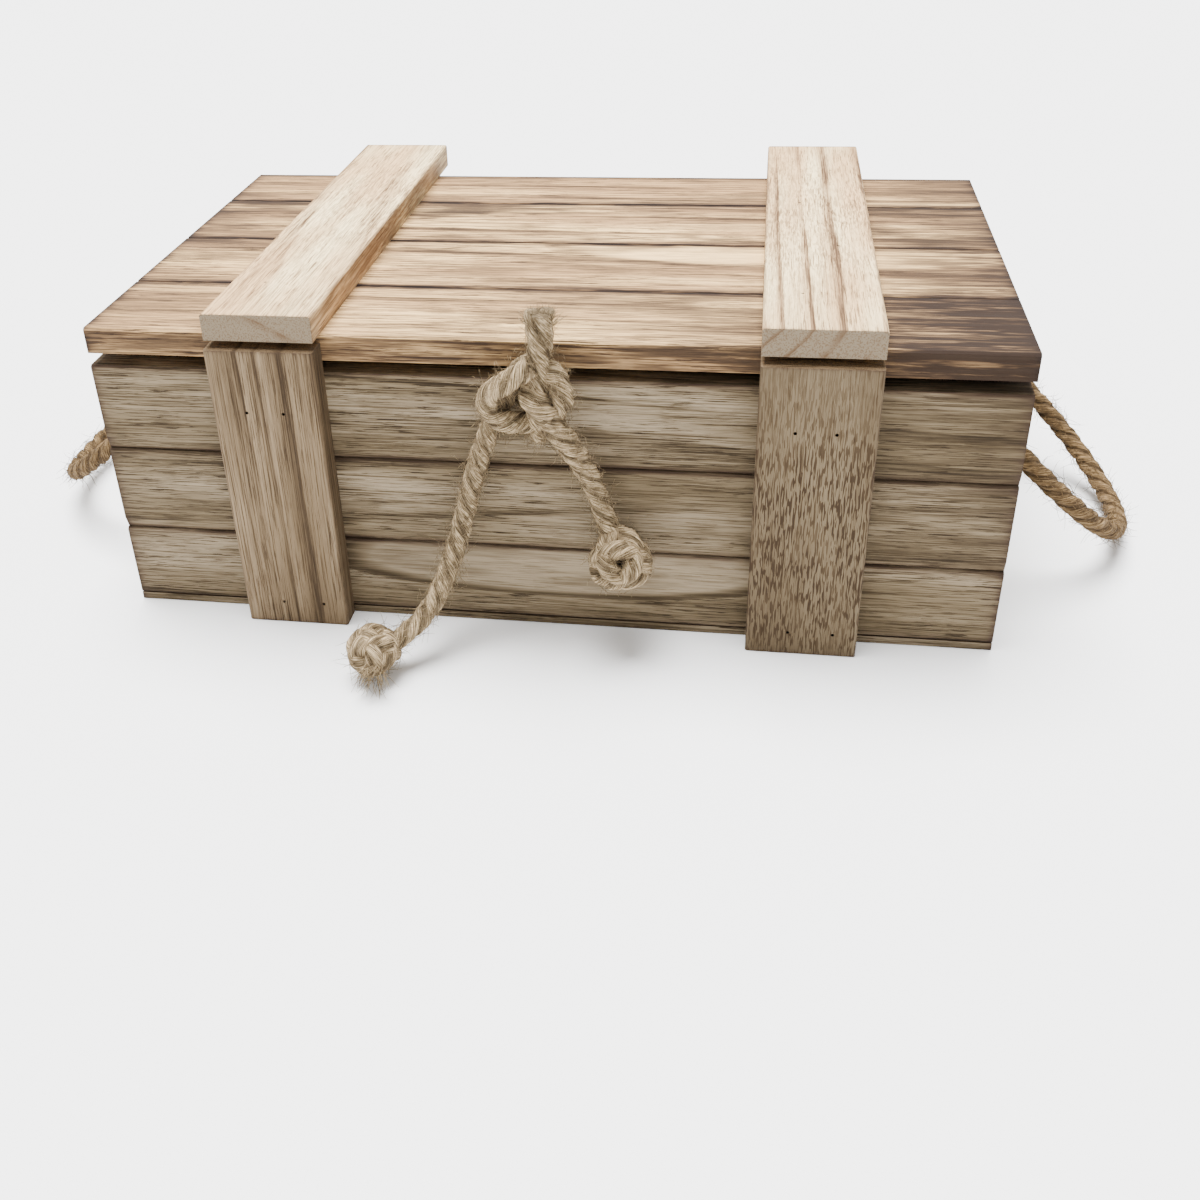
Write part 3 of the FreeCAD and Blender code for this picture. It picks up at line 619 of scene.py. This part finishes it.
def woodMaterial(nodeName, grain, across, values):
    values = dict(woodValues, **values)
    material, tree, shader = newMaterial(nodeName + "Wood")
    low, high = (Vector(corner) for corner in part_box(nodeName))
    middle = (low + high) / 2 * 1000
    half = (high - low) / 2 * 1000
    coords = put(tree, "ShaderNodeTexCoord", {})
    local = vectorMaths(tree, "MULTIPLY_ADD", coords.outputs["Object"], (1000, 1000, 1000),
                        tuple(-middle))
    parts = put(tree, "ShaderNodeSeparateXYZ", {0: local}).outputs
    depth = ({0, 1, 2} - {"xyz".index(grain), "xyz".index(across)}).pop()
    order = ("xyz".index(grain), "xyz".index(across), depth)
    a, c, d = (parts[index] for index in order)
    halfLong, halfWide, _ = (half[index] for index in order)
    board = put(tree, "ShaderNodeCombineXYZ", {0: a, 1: c, 2: d}).outputs[0]
    seeded = vectorMaths(tree, "ADD", board,
                         tuple(values["seed"] * shift + 40 for shift in (337.1, 91.7, 53.3)))

    def stretched(along, wide, detail=3.0, roughness=0.55, distortion=0.0):
        return cloud(tree, vectorMaths(tree, "MULTIPLY", seeded, (1 / along, 1 / wide, 1 / wide)),
                     detail,
                     roughness, distortion)

    # rings
    longWave = maths(tree, "MULTIPLY_ADD", stretched(260, 60, 1), values["swing"] * 2,
                     -values["swing"])
    shortWave = maths(tree, "MULTIPLY_ADD", stretched(45, 7, 3, 0.6), values["ripple"] * 2,
                      -values["ripple"])
    offWide = maths(tree, "ADD", maths(tree, "SUBTRACT", c, values["pith"][0]),
                    maths(tree, "MULTIPLY_ADD", a, values["taper"], longWave))
    offDeep = maths(tree, "SUBTRACT", d, values["pith"][1])
    reach = maths(tree, "SQRT", maths(tree, "ADD", maths(tree, "MULTIPLY", offWide, offWide),
                                      maths(tree, "MULTIPLY", offDeep, offDeep)))
    reach = maths(tree, "ADD", reach, shortWave)
    spacing = put(tree, "ShaderNodeCombineXYZ",
                  {0: maths(tree, "MULTIPLY", reach, 0.05), 1: values["seed"] * 3.3})
    uneven = maths(tree, "MULTIPLY", cloud(tree, spacing.outputs[0], 1), 2.0)
    phase = maths(tree, "FRACT", maths(tree, "MULTIPLY_ADD", reach, 1 / values["ring"], uneven))
    late = ramp(tree, phase, [(0.0, 0.25), (0.06, 0.0), (0.78, 0.0), (0.9, 0.75), (0.97, 1.0),
                              (1.0, 0.35)])
    band = ramp(tree, phase, [(0.0, 0.1), (0.08, 0.0), (0.4, 0.12), (0.75, 0.6), (0.95, 1.0),
                              (1.0, 0.2)])
    presence = spread(tree, stretched(140, 14, 2), 0.34, 0.62, 0.12, 1.0)
    late = maths(tree, "MULTIPLY", late, presence)
    band = maths(tree, "MULTIPLY", band, presence)

    # fibres
    fine = stretched(34, 0.5, 3, 0.62)
    streaks = stretched(70, 1.3, 5, 0.78)
    marks = spread(tree, stretched(15, 0.46, 3, 0.6), 0.56, 0.59)
    broad = stretched(150, 26, 2)
    patchy = stretched(70, 15, 3, 0.6)

    shades = {key: thinned(values[key]) for key in ("pale", "tan", "brown", "burnt", "endPale")}
    tone = blend(tree, spread(tree, broad, 0.35, 0.65, 0.0, 0.6), shades["pale"], shades["tan"])
    soft = maths(tree, "MULTIPLY", spread(tree, streaks, 0.3, 0.6, 0.3, 1.2),
                 maths(tree, "MULTIPLY", band, values["bands"]))
    tone = blend(tree, soft, tone, shades["tan"])
    tone = blend(tree, maths(tree, "MULTIPLY", soft, 0.4), tone, shades["brown"])
    brownness = maths(tree, "MULTIPLY", late, values["lines"])
    hairy = maths(tree, "MULTIPLY", spread(tree, streaks, 0.48, 0.62), values["hairs"])
    hairy = maths(tree, "MULTIPLY", hairy, maths(tree, "MULTIPLY_ADD", band, 0.8, 0.45))
    brownness = maths(tree, "ADD", brownness, hairy)
    brownness = maths(tree, "MULTIPLY", brownness, spread(tree, fine, 0.35, 0.65, 0.35, 1.4))
    threads = maths(tree, "MULTIPLY", spread(tree, fine, 0.53, 0.6), values["threads"])
    brownness = maths(tree, "ADD", brownness, threads)
    crowd = spread(tree, stretched(45, 9, 2), 0.35, 0.6, 0.3, 1.0)
    dashed = maths(tree, "MULTIPLY", marks, maths(tree, "MULTIPLY", crowd, values["dashes"]))
    brownness = maths(tree, "ADD", brownness, dashed)
    if values["flecks"]:
        flecks = spread(tree, stretched(5.5, 0.62, 1, 0.4, 0.35), 0.5, 0.55)
        centre, reachAlong = values["crowded"]
        thick = spread(tree, maths(tree, "ABSOLUTE", maths(tree, "SUBTRACT", a, centre)), 0.0,
                       reachAlong, 1.0, 0.0)
        thick = maths(tree, "MULTIPLY", thick,
                      spread(tree, stretched(26, 12, 2), 0.3, 0.55, 0.35, 1.0))
        brownness = maths(tree, "ADD", brownness, maths(tree, "MULTIPLY", flecks,
                                                        maths(tree, "MULTIPLY", thick,
                                                                values["flecks"])))
    if values["lens"]:
        alongAt, acrossAt, longReach, wideReach, rimDepth = values["lens"]
        offLong = maths(tree, "MULTIPLY", maths(tree, "SUBTRACT", a, alongAt), 1 / longReach)
        offAcross = maths(tree, "MULTIPLY",
                          maths(tree, "SUBTRACT", maths(tree, "ADD", c, shortWave), acrossAt),
                          1 / wideReach)
        oval = maths(tree, "SQRT", maths(tree, "ADD", maths(tree, "MULTIPLY", offLong, offLong),
                                         maths(tree, "MULTIPLY", offAcross, offAcross)))
        inside = spread(tree, oval, 0.96, 0.84)
        rim = ramp(tree, oval, [(0.78, 0.0), (0.92, 1.0), (1.0, 0.75), (1.1, 0.0)])
        rim = maths(tree, "MULTIPLY", rim, spread(tree, streaks, 0.3, 0.6, 0.35, 1.0))
        tone = blend(tree, maths(tree, "MULTIPLY", inside, 0.8), tone, shades["pale"])
        brownness = maths(tree, "MULTIPLY", brownness,
                          maths(tree, "MULTIPLY_ADD", inside, -0.7, 1.0))
        brownness = maths(tree, "MAXIMUM", brownness, maths(tree, "MULTIPLY", rim, rimDepth))
    tone = blend(tree, put(tree, "ShaderNodeClamp", {0: brownness}).outputs[0], tone,
                 shades["brown"])
    torched = maths(tree, "MULTIPLY", spread(tree, patchy, 0.47, 0.68),
                    spread(tree, streaks, 0.3, 0.65, 0.25, 1.3))
    tone = blend(tree, maths(tree, "MULTIPLY", torched, values["patches"]), tone, shades["brown"])

    # scorching at the ends, then the thin dark outline round the broad faces
    broken = spread(tree, stretched(30, 2.2, 3, 0.65), 0.32, 0.68, 0.3, 1.35)
    gaps = (maths(tree, "ADD", a, halfLong), maths(tree, "SUBTRACT", halfLong, a))

    def fading(gap, far, strength):
        return maths(tree, "MULTIPLY",
                     maths(tree, "EXPONENT", maths(tree, "MULTIPLY", gap, -1 / far)), strength)

    wide = maths(tree, "ADD", fading(gaps[0], *values["scorch"][:2]),
                 fading(gaps[1], *values["scorch"][2:]))
    wide = put(tree, "ShaderNodeClamp", {0: maths(tree, "MULTIPLY", wide, broken)}).outputs[0]
    tone = blend(tree, wide, tone, shades["brown"])
    tone = blend(tree, maths(tree, "MULTIPLY", wide, maths(tree, "MULTIPLY", wide, 0.6)), tone,
                 shades["burnt"])
    facing = [0, 0, 0]
    facing[order[2]] = 1
    flatOn = maths(tree, "ABSOLUTE", dotted(tree, coords.outputs["Normal"], facing))
    edgeGap = maths(tree, "SUBTRACT", halfWide,
                    c if values["joined"] == "high" else maths(tree, "ABSOLUTE", c))
    outline = maths(tree, "MULTIPLY", fading(edgeGap, *values["edges"]),
                    spread(tree, flatOn, 0.3, 0.9))
    outline = maths(tree, "ADD", outline, maths(tree, "ADD", fading(gaps[0], *values["ends"][:2]),
                                                fading(gaps[1], *values["ends"][2:])))
    outline = put(tree, "ShaderNodeClamp",
                  {0: maths(tree, "MULTIPLY", outline, broken)}).outputs[0]
    # painted shade: the narrow faces, picked out by their facing, are darkened towards brown; on the lid
    # planks and lid battens this darkens their upright edges, which stand in shade under the light from
    # above
    sides = maths(tree, "MULTIPLY_ADD", spread(tree, flatOn, 0.3, 0.9), -values["sides"],
                  values["sides"])
    tone = blend(tree, maths(tree, "MULTIPLY", sides, broken), tone, shades["brown"])
    tone = blend(tree, outline, tone, shades["burnt"])

    # end grain is greyer, with open pores
    facing = [0, 0, 0]
    facing[order[0]] = 1
    endOn = spread(tree, maths(tree, "ABSOLUTE", dotted(tree, coords.outputs["Normal"], facing)),
                   0.6, 0.9)
    dots = spread(tree, stretched(40, 0.55, 1, 0.5), 0.5, 0.62)
    endTone = blend(tree, maths(tree, "MULTIPLY", late, 0.8), shades["endPale"], shades["brown"])
    endTone = blend(tree, maths(tree, "MULTIPLY", dots, 0.45), endTone, shades["brown"])
    tone = blend(tree, endOn, tone, endTone)
    strong = put(tree, "ShaderNodeGamma", {0: tone, 1: stainPower})
    plug(tree, strong.outputs[0], shader.inputs["Base Color"])
    plug(tree, spread(tree, fine, 0.2, 0.8, 0.74, 0.92), shader.inputs["Roughness"])
    shader.inputs["Specular IOR Level"].default_value = 0.2
    height = maths(tree, "SUBTRACT", maths(tree, "MULTIPLY", fine, 0.7),
                   maths(tree, "ADD", maths(tree, "MULTIPLY", late, 0.5),
                         maths(tree, "MULTIPLY", marks, 0.4)))
    bump = put(tree, "ShaderNodeBump",
               {"Height": height, "Strength": values["bump"], "Distance": 0.0004})
    plug(tree, bump.outputs[0], shader.inputs["Normal"])
    return material


def dotted(tree, first, second):
    made = put(tree, "ShaderNodeVectorMath", {0: first, 1: tuple(second)}, operation="DOT_PRODUCT")
    return made.outputs["Value"]


# One wood painted as lit and shaded copies: the wall and batten palettes are darker, as painted shade on
# the upright faces, and the lid and lid batten palettes are lighter, as painted light on the top faces.
shadedWallWood = {"pale": paint(148, 133, 110), "tan": paint(98, 84, 61), "brown": paint(40, 30, 16),
            "bands": 0.35,
            "lines": 0.5, "hairs": 0.5, "dashes": 0.85, "ring": 13, "endPale": paint(94, 81, 60),
            "edges": (0.75, 1.3)}
litLidWood = {"pale": paint(249, 207, 142), "tan": paint(142, 106, 72), "brown": paint(50, 36, 24),
           "burnt": paint(30, 19, 13), "bands": 0.55,
           # sides 0.5: painted shade on the upright front and back edges of the lid planks
           "hairs": 0.8, "dashes": 0.8, "lines": 0.5, "sides": 0.5, "patches": 0.4,
           "endPale": paint(66, 54, 38),
           "edges": (1.5, 2.0)}
shadedBattenWood = {"pale": paint(140, 121, 95), "tan": paint(98, 81, 58), "brown": paint(50, 37, 22),
              "patches": 0.1,
              "endPale": paint(100, 82, 60), "ends": (0.6, 0.5, 0.6, 0.5), "edges": (0.5, 0.4)}
litLidBattenWood = dict(shadedBattenWood, threads=0.12, pale=paint(250, 230, 178), tan=paint(205, 155, 108),
                     brown=paint(84, 62, 42),
                     # sides 0.45: painted shade on the upright side faces of the lid battens
                     endPale=paint(120, 107, 88), sides=0.45)
boards = {
    "front_plank_upper": ("x", "z",
                          dict(shadedWallWood, seed=1, pith=(-30, -40), taper=0.05,
                               scorch=(30, 0.1, 60, 0.4))),
    "front_plank_middle": ("x", "z",
                           dict(shadedWallWood, seed=2, pith=(32, -40), taper=-0.07,
                                scorch=(30, 0.1, 60, 0.4))),
    "front_plank_lower": ("x", "z",
                          dict(shadedWallWood, seed=3, pith=(4, -34), taper=0.04, ring=17, bands=0.3,
                                       lens=(6, 9, 96, 15, 0.85))),
    "back_plank_upper": ("x", "z", dict(shadedWallWood, seed=4, pith=(-20, 40))),
    "back_plank_middle": ("x", "z", dict(shadedWallWood, seed=5, pith=(25, 40))),
    "back_plank_lower": ("x", "z", dict(shadedWallWood, seed=6, pith=(-35, 45))),
    "end_board_left": ("y", "z", dict(shadedWallWood, seed=7, pith=(20, 60))),
    "end_board_right": ("y", "z", dict(shadedWallWood, seed=8, pith=(-25, -60))),
    "bottom_panel": ("x", "y", dict(shadedWallWood, seed=9)),
    "front_batten_left": ("z", "x",
                          dict(shadedBattenWood, seed=10, pith=(-120, 0), ring=11, swing=2, hairs=0.8,
                               bands=0.7,
                                         lines=0.6)),
    "front_batten_right": ("z", "x",
                           dict(shadedBattenWood, seed=11, pith=(0, -60), flecks=1.25, crowded=(-12, 88),
                                lines=0.0,
                                          bands=0.1, hairs=0.1, dashes=0.4, threads=0.1,
                                          pale=paint(112, 98, 76), tan=paint(88, 74, 54),
                                          brown=paint(52, 38, 22))),
    "rear_batten_left": ("z", "x", dict(shadedBattenWood, seed=12)),
    "rear_batten_right": ("z", "x", dict(shadedBattenWood, seed=13)),
    "lid_plank_front": ("x", "y", dict(litLidWood, seed=14, scorch=(25, 0.2, 68, 1.6), bands=0.35,
                                     joined="high")),
    "lid_plank_second": ("x", "y",
                         dict(litLidWood, seed=15, scorch=(30, 0.25, 40, 0.75), taper=0.08, ring=19,
                                      lens=(100, 25, 112, 26, 0.25), bands=0.75)),
    "lid_plank_third": ("x", "y",
                        dict(litLidWood, seed=16, scorch=(30, 0.3, 35, 0.6), patches=0.85,
                             bands=0.8)),
    "lid_plank_rear": ("x", "y", dict(litLidWood, seed=17, scorch=(25, 0.2, 30, 0.4))),
    "lid_batten_left": ("y", "x",
                        dict(litLidBattenWood, seed=18, pith=(-45, -78), ring=17, taper=0.1,
                             hairs=0.35,
                                       bands=0.05, lines=0.25, flecks=0.25)),
    "lid_batten_right": ("y", "x",
                         dict(litLidBattenWood, seed=19, pith=(-60, 45), ring=8.5, taper=0.0, swing=4,
                                        hairs=0.2, lines=0.8, flecks=0.3)),
}
for nodeName, (grain, across, values) in boards.items():
    dress(nodes[nodeName], woodMaterial(nodeName, grain, across, values))
print("boards stained")


def metalMaterial(name, colour, roughness, rust):
    material, tree, shader = newMaterial(name)
    where = put(tree, "ShaderNodeTexCoord", {}).outputs["Object"]
    spots = cloud(tree, vectorMaths(tree, "MULTIPLY", where, (900, 900, 900)), 4, 0.6)
    plug(tree, blend(tree, spread(tree, spots, 0.4, 0.7), colour, rust),
         shader.inputs["Base Color"])
    plug(tree, spread(tree, spots, 0.3, 0.7, roughness, roughness + 0.25),
         shader.inputs["Roughness"])
    shader.inputs["Metallic"].default_value = 0.85
    bump = put(tree, "ShaderNodeBump", {"Height": spots, "Strength": 0.2, "Distance": 0.0001})
    plug(tree, bump.outputs[0], shader.inputs["Normal"])
    return material


nailSteel = metalMaterial("nailSteel", paint(90, 84, 78), 0.5, paint(52, 40, 32))
hingeBrass = metalMaterial("hingeBrass", paint(176, 146, 88), 0.35, paint(120, 92, 54))
for nodeName, thing in nodes.items():
    if "nails" in nodeName or "screws" in nodeName or nodeName == "loop_staple":
        dress(thing, nailSteel)
    elif nodeName.startswith("hinge"):
        dress(thing, hingeBrass)
print("metal done")

stageValues = {
    "floor": (0.9, 0.9, 0.9, 1),
    "size": 40.0,
    "world": 1.1,
    "sun": 14.0,
    "sunTo": (0.12, -0.16, -1.0),    # the way the light travels
    "softness": 40.0,               # degrees
}


def makeStage(values):
    bpy.ops.mesh.primitive_plane_add(size=values["size"], location=(0, 0, -0.0002))
    floor = bpy.context.object
    floor.name = "floor"
    material, _, shader = newMaterial("floorPaint")
    shader.inputs["Base Color"].default_value = values["floor"]
    shader.inputs["Roughness"].default_value = 0.9
    dress(floor, material)
    world = bpy.data.worlds.new("softRoom")
    world.use_nodes = True
    world.node_tree.nodes["Background"].inputs["Color"].default_value = (1, 1, 1, 1)
    world.node_tree.nodes["Background"].inputs["Strength"].default_value = values["world"]
    bpy.context.scene.world = world
    bpy.ops.object.light_add(type="SUN", location=(0, 0, 2))
    sun = bpy.context.object
    sun.name = "softSun"
    sun.data.energy = values["sun"]
    sun.data.angle = math.radians(values["softness"])
    sun.rotation_euler = Vector(values["sunTo"]).to_track_quat("-Z", "Y").to_euler()


makeStage(stageValues)
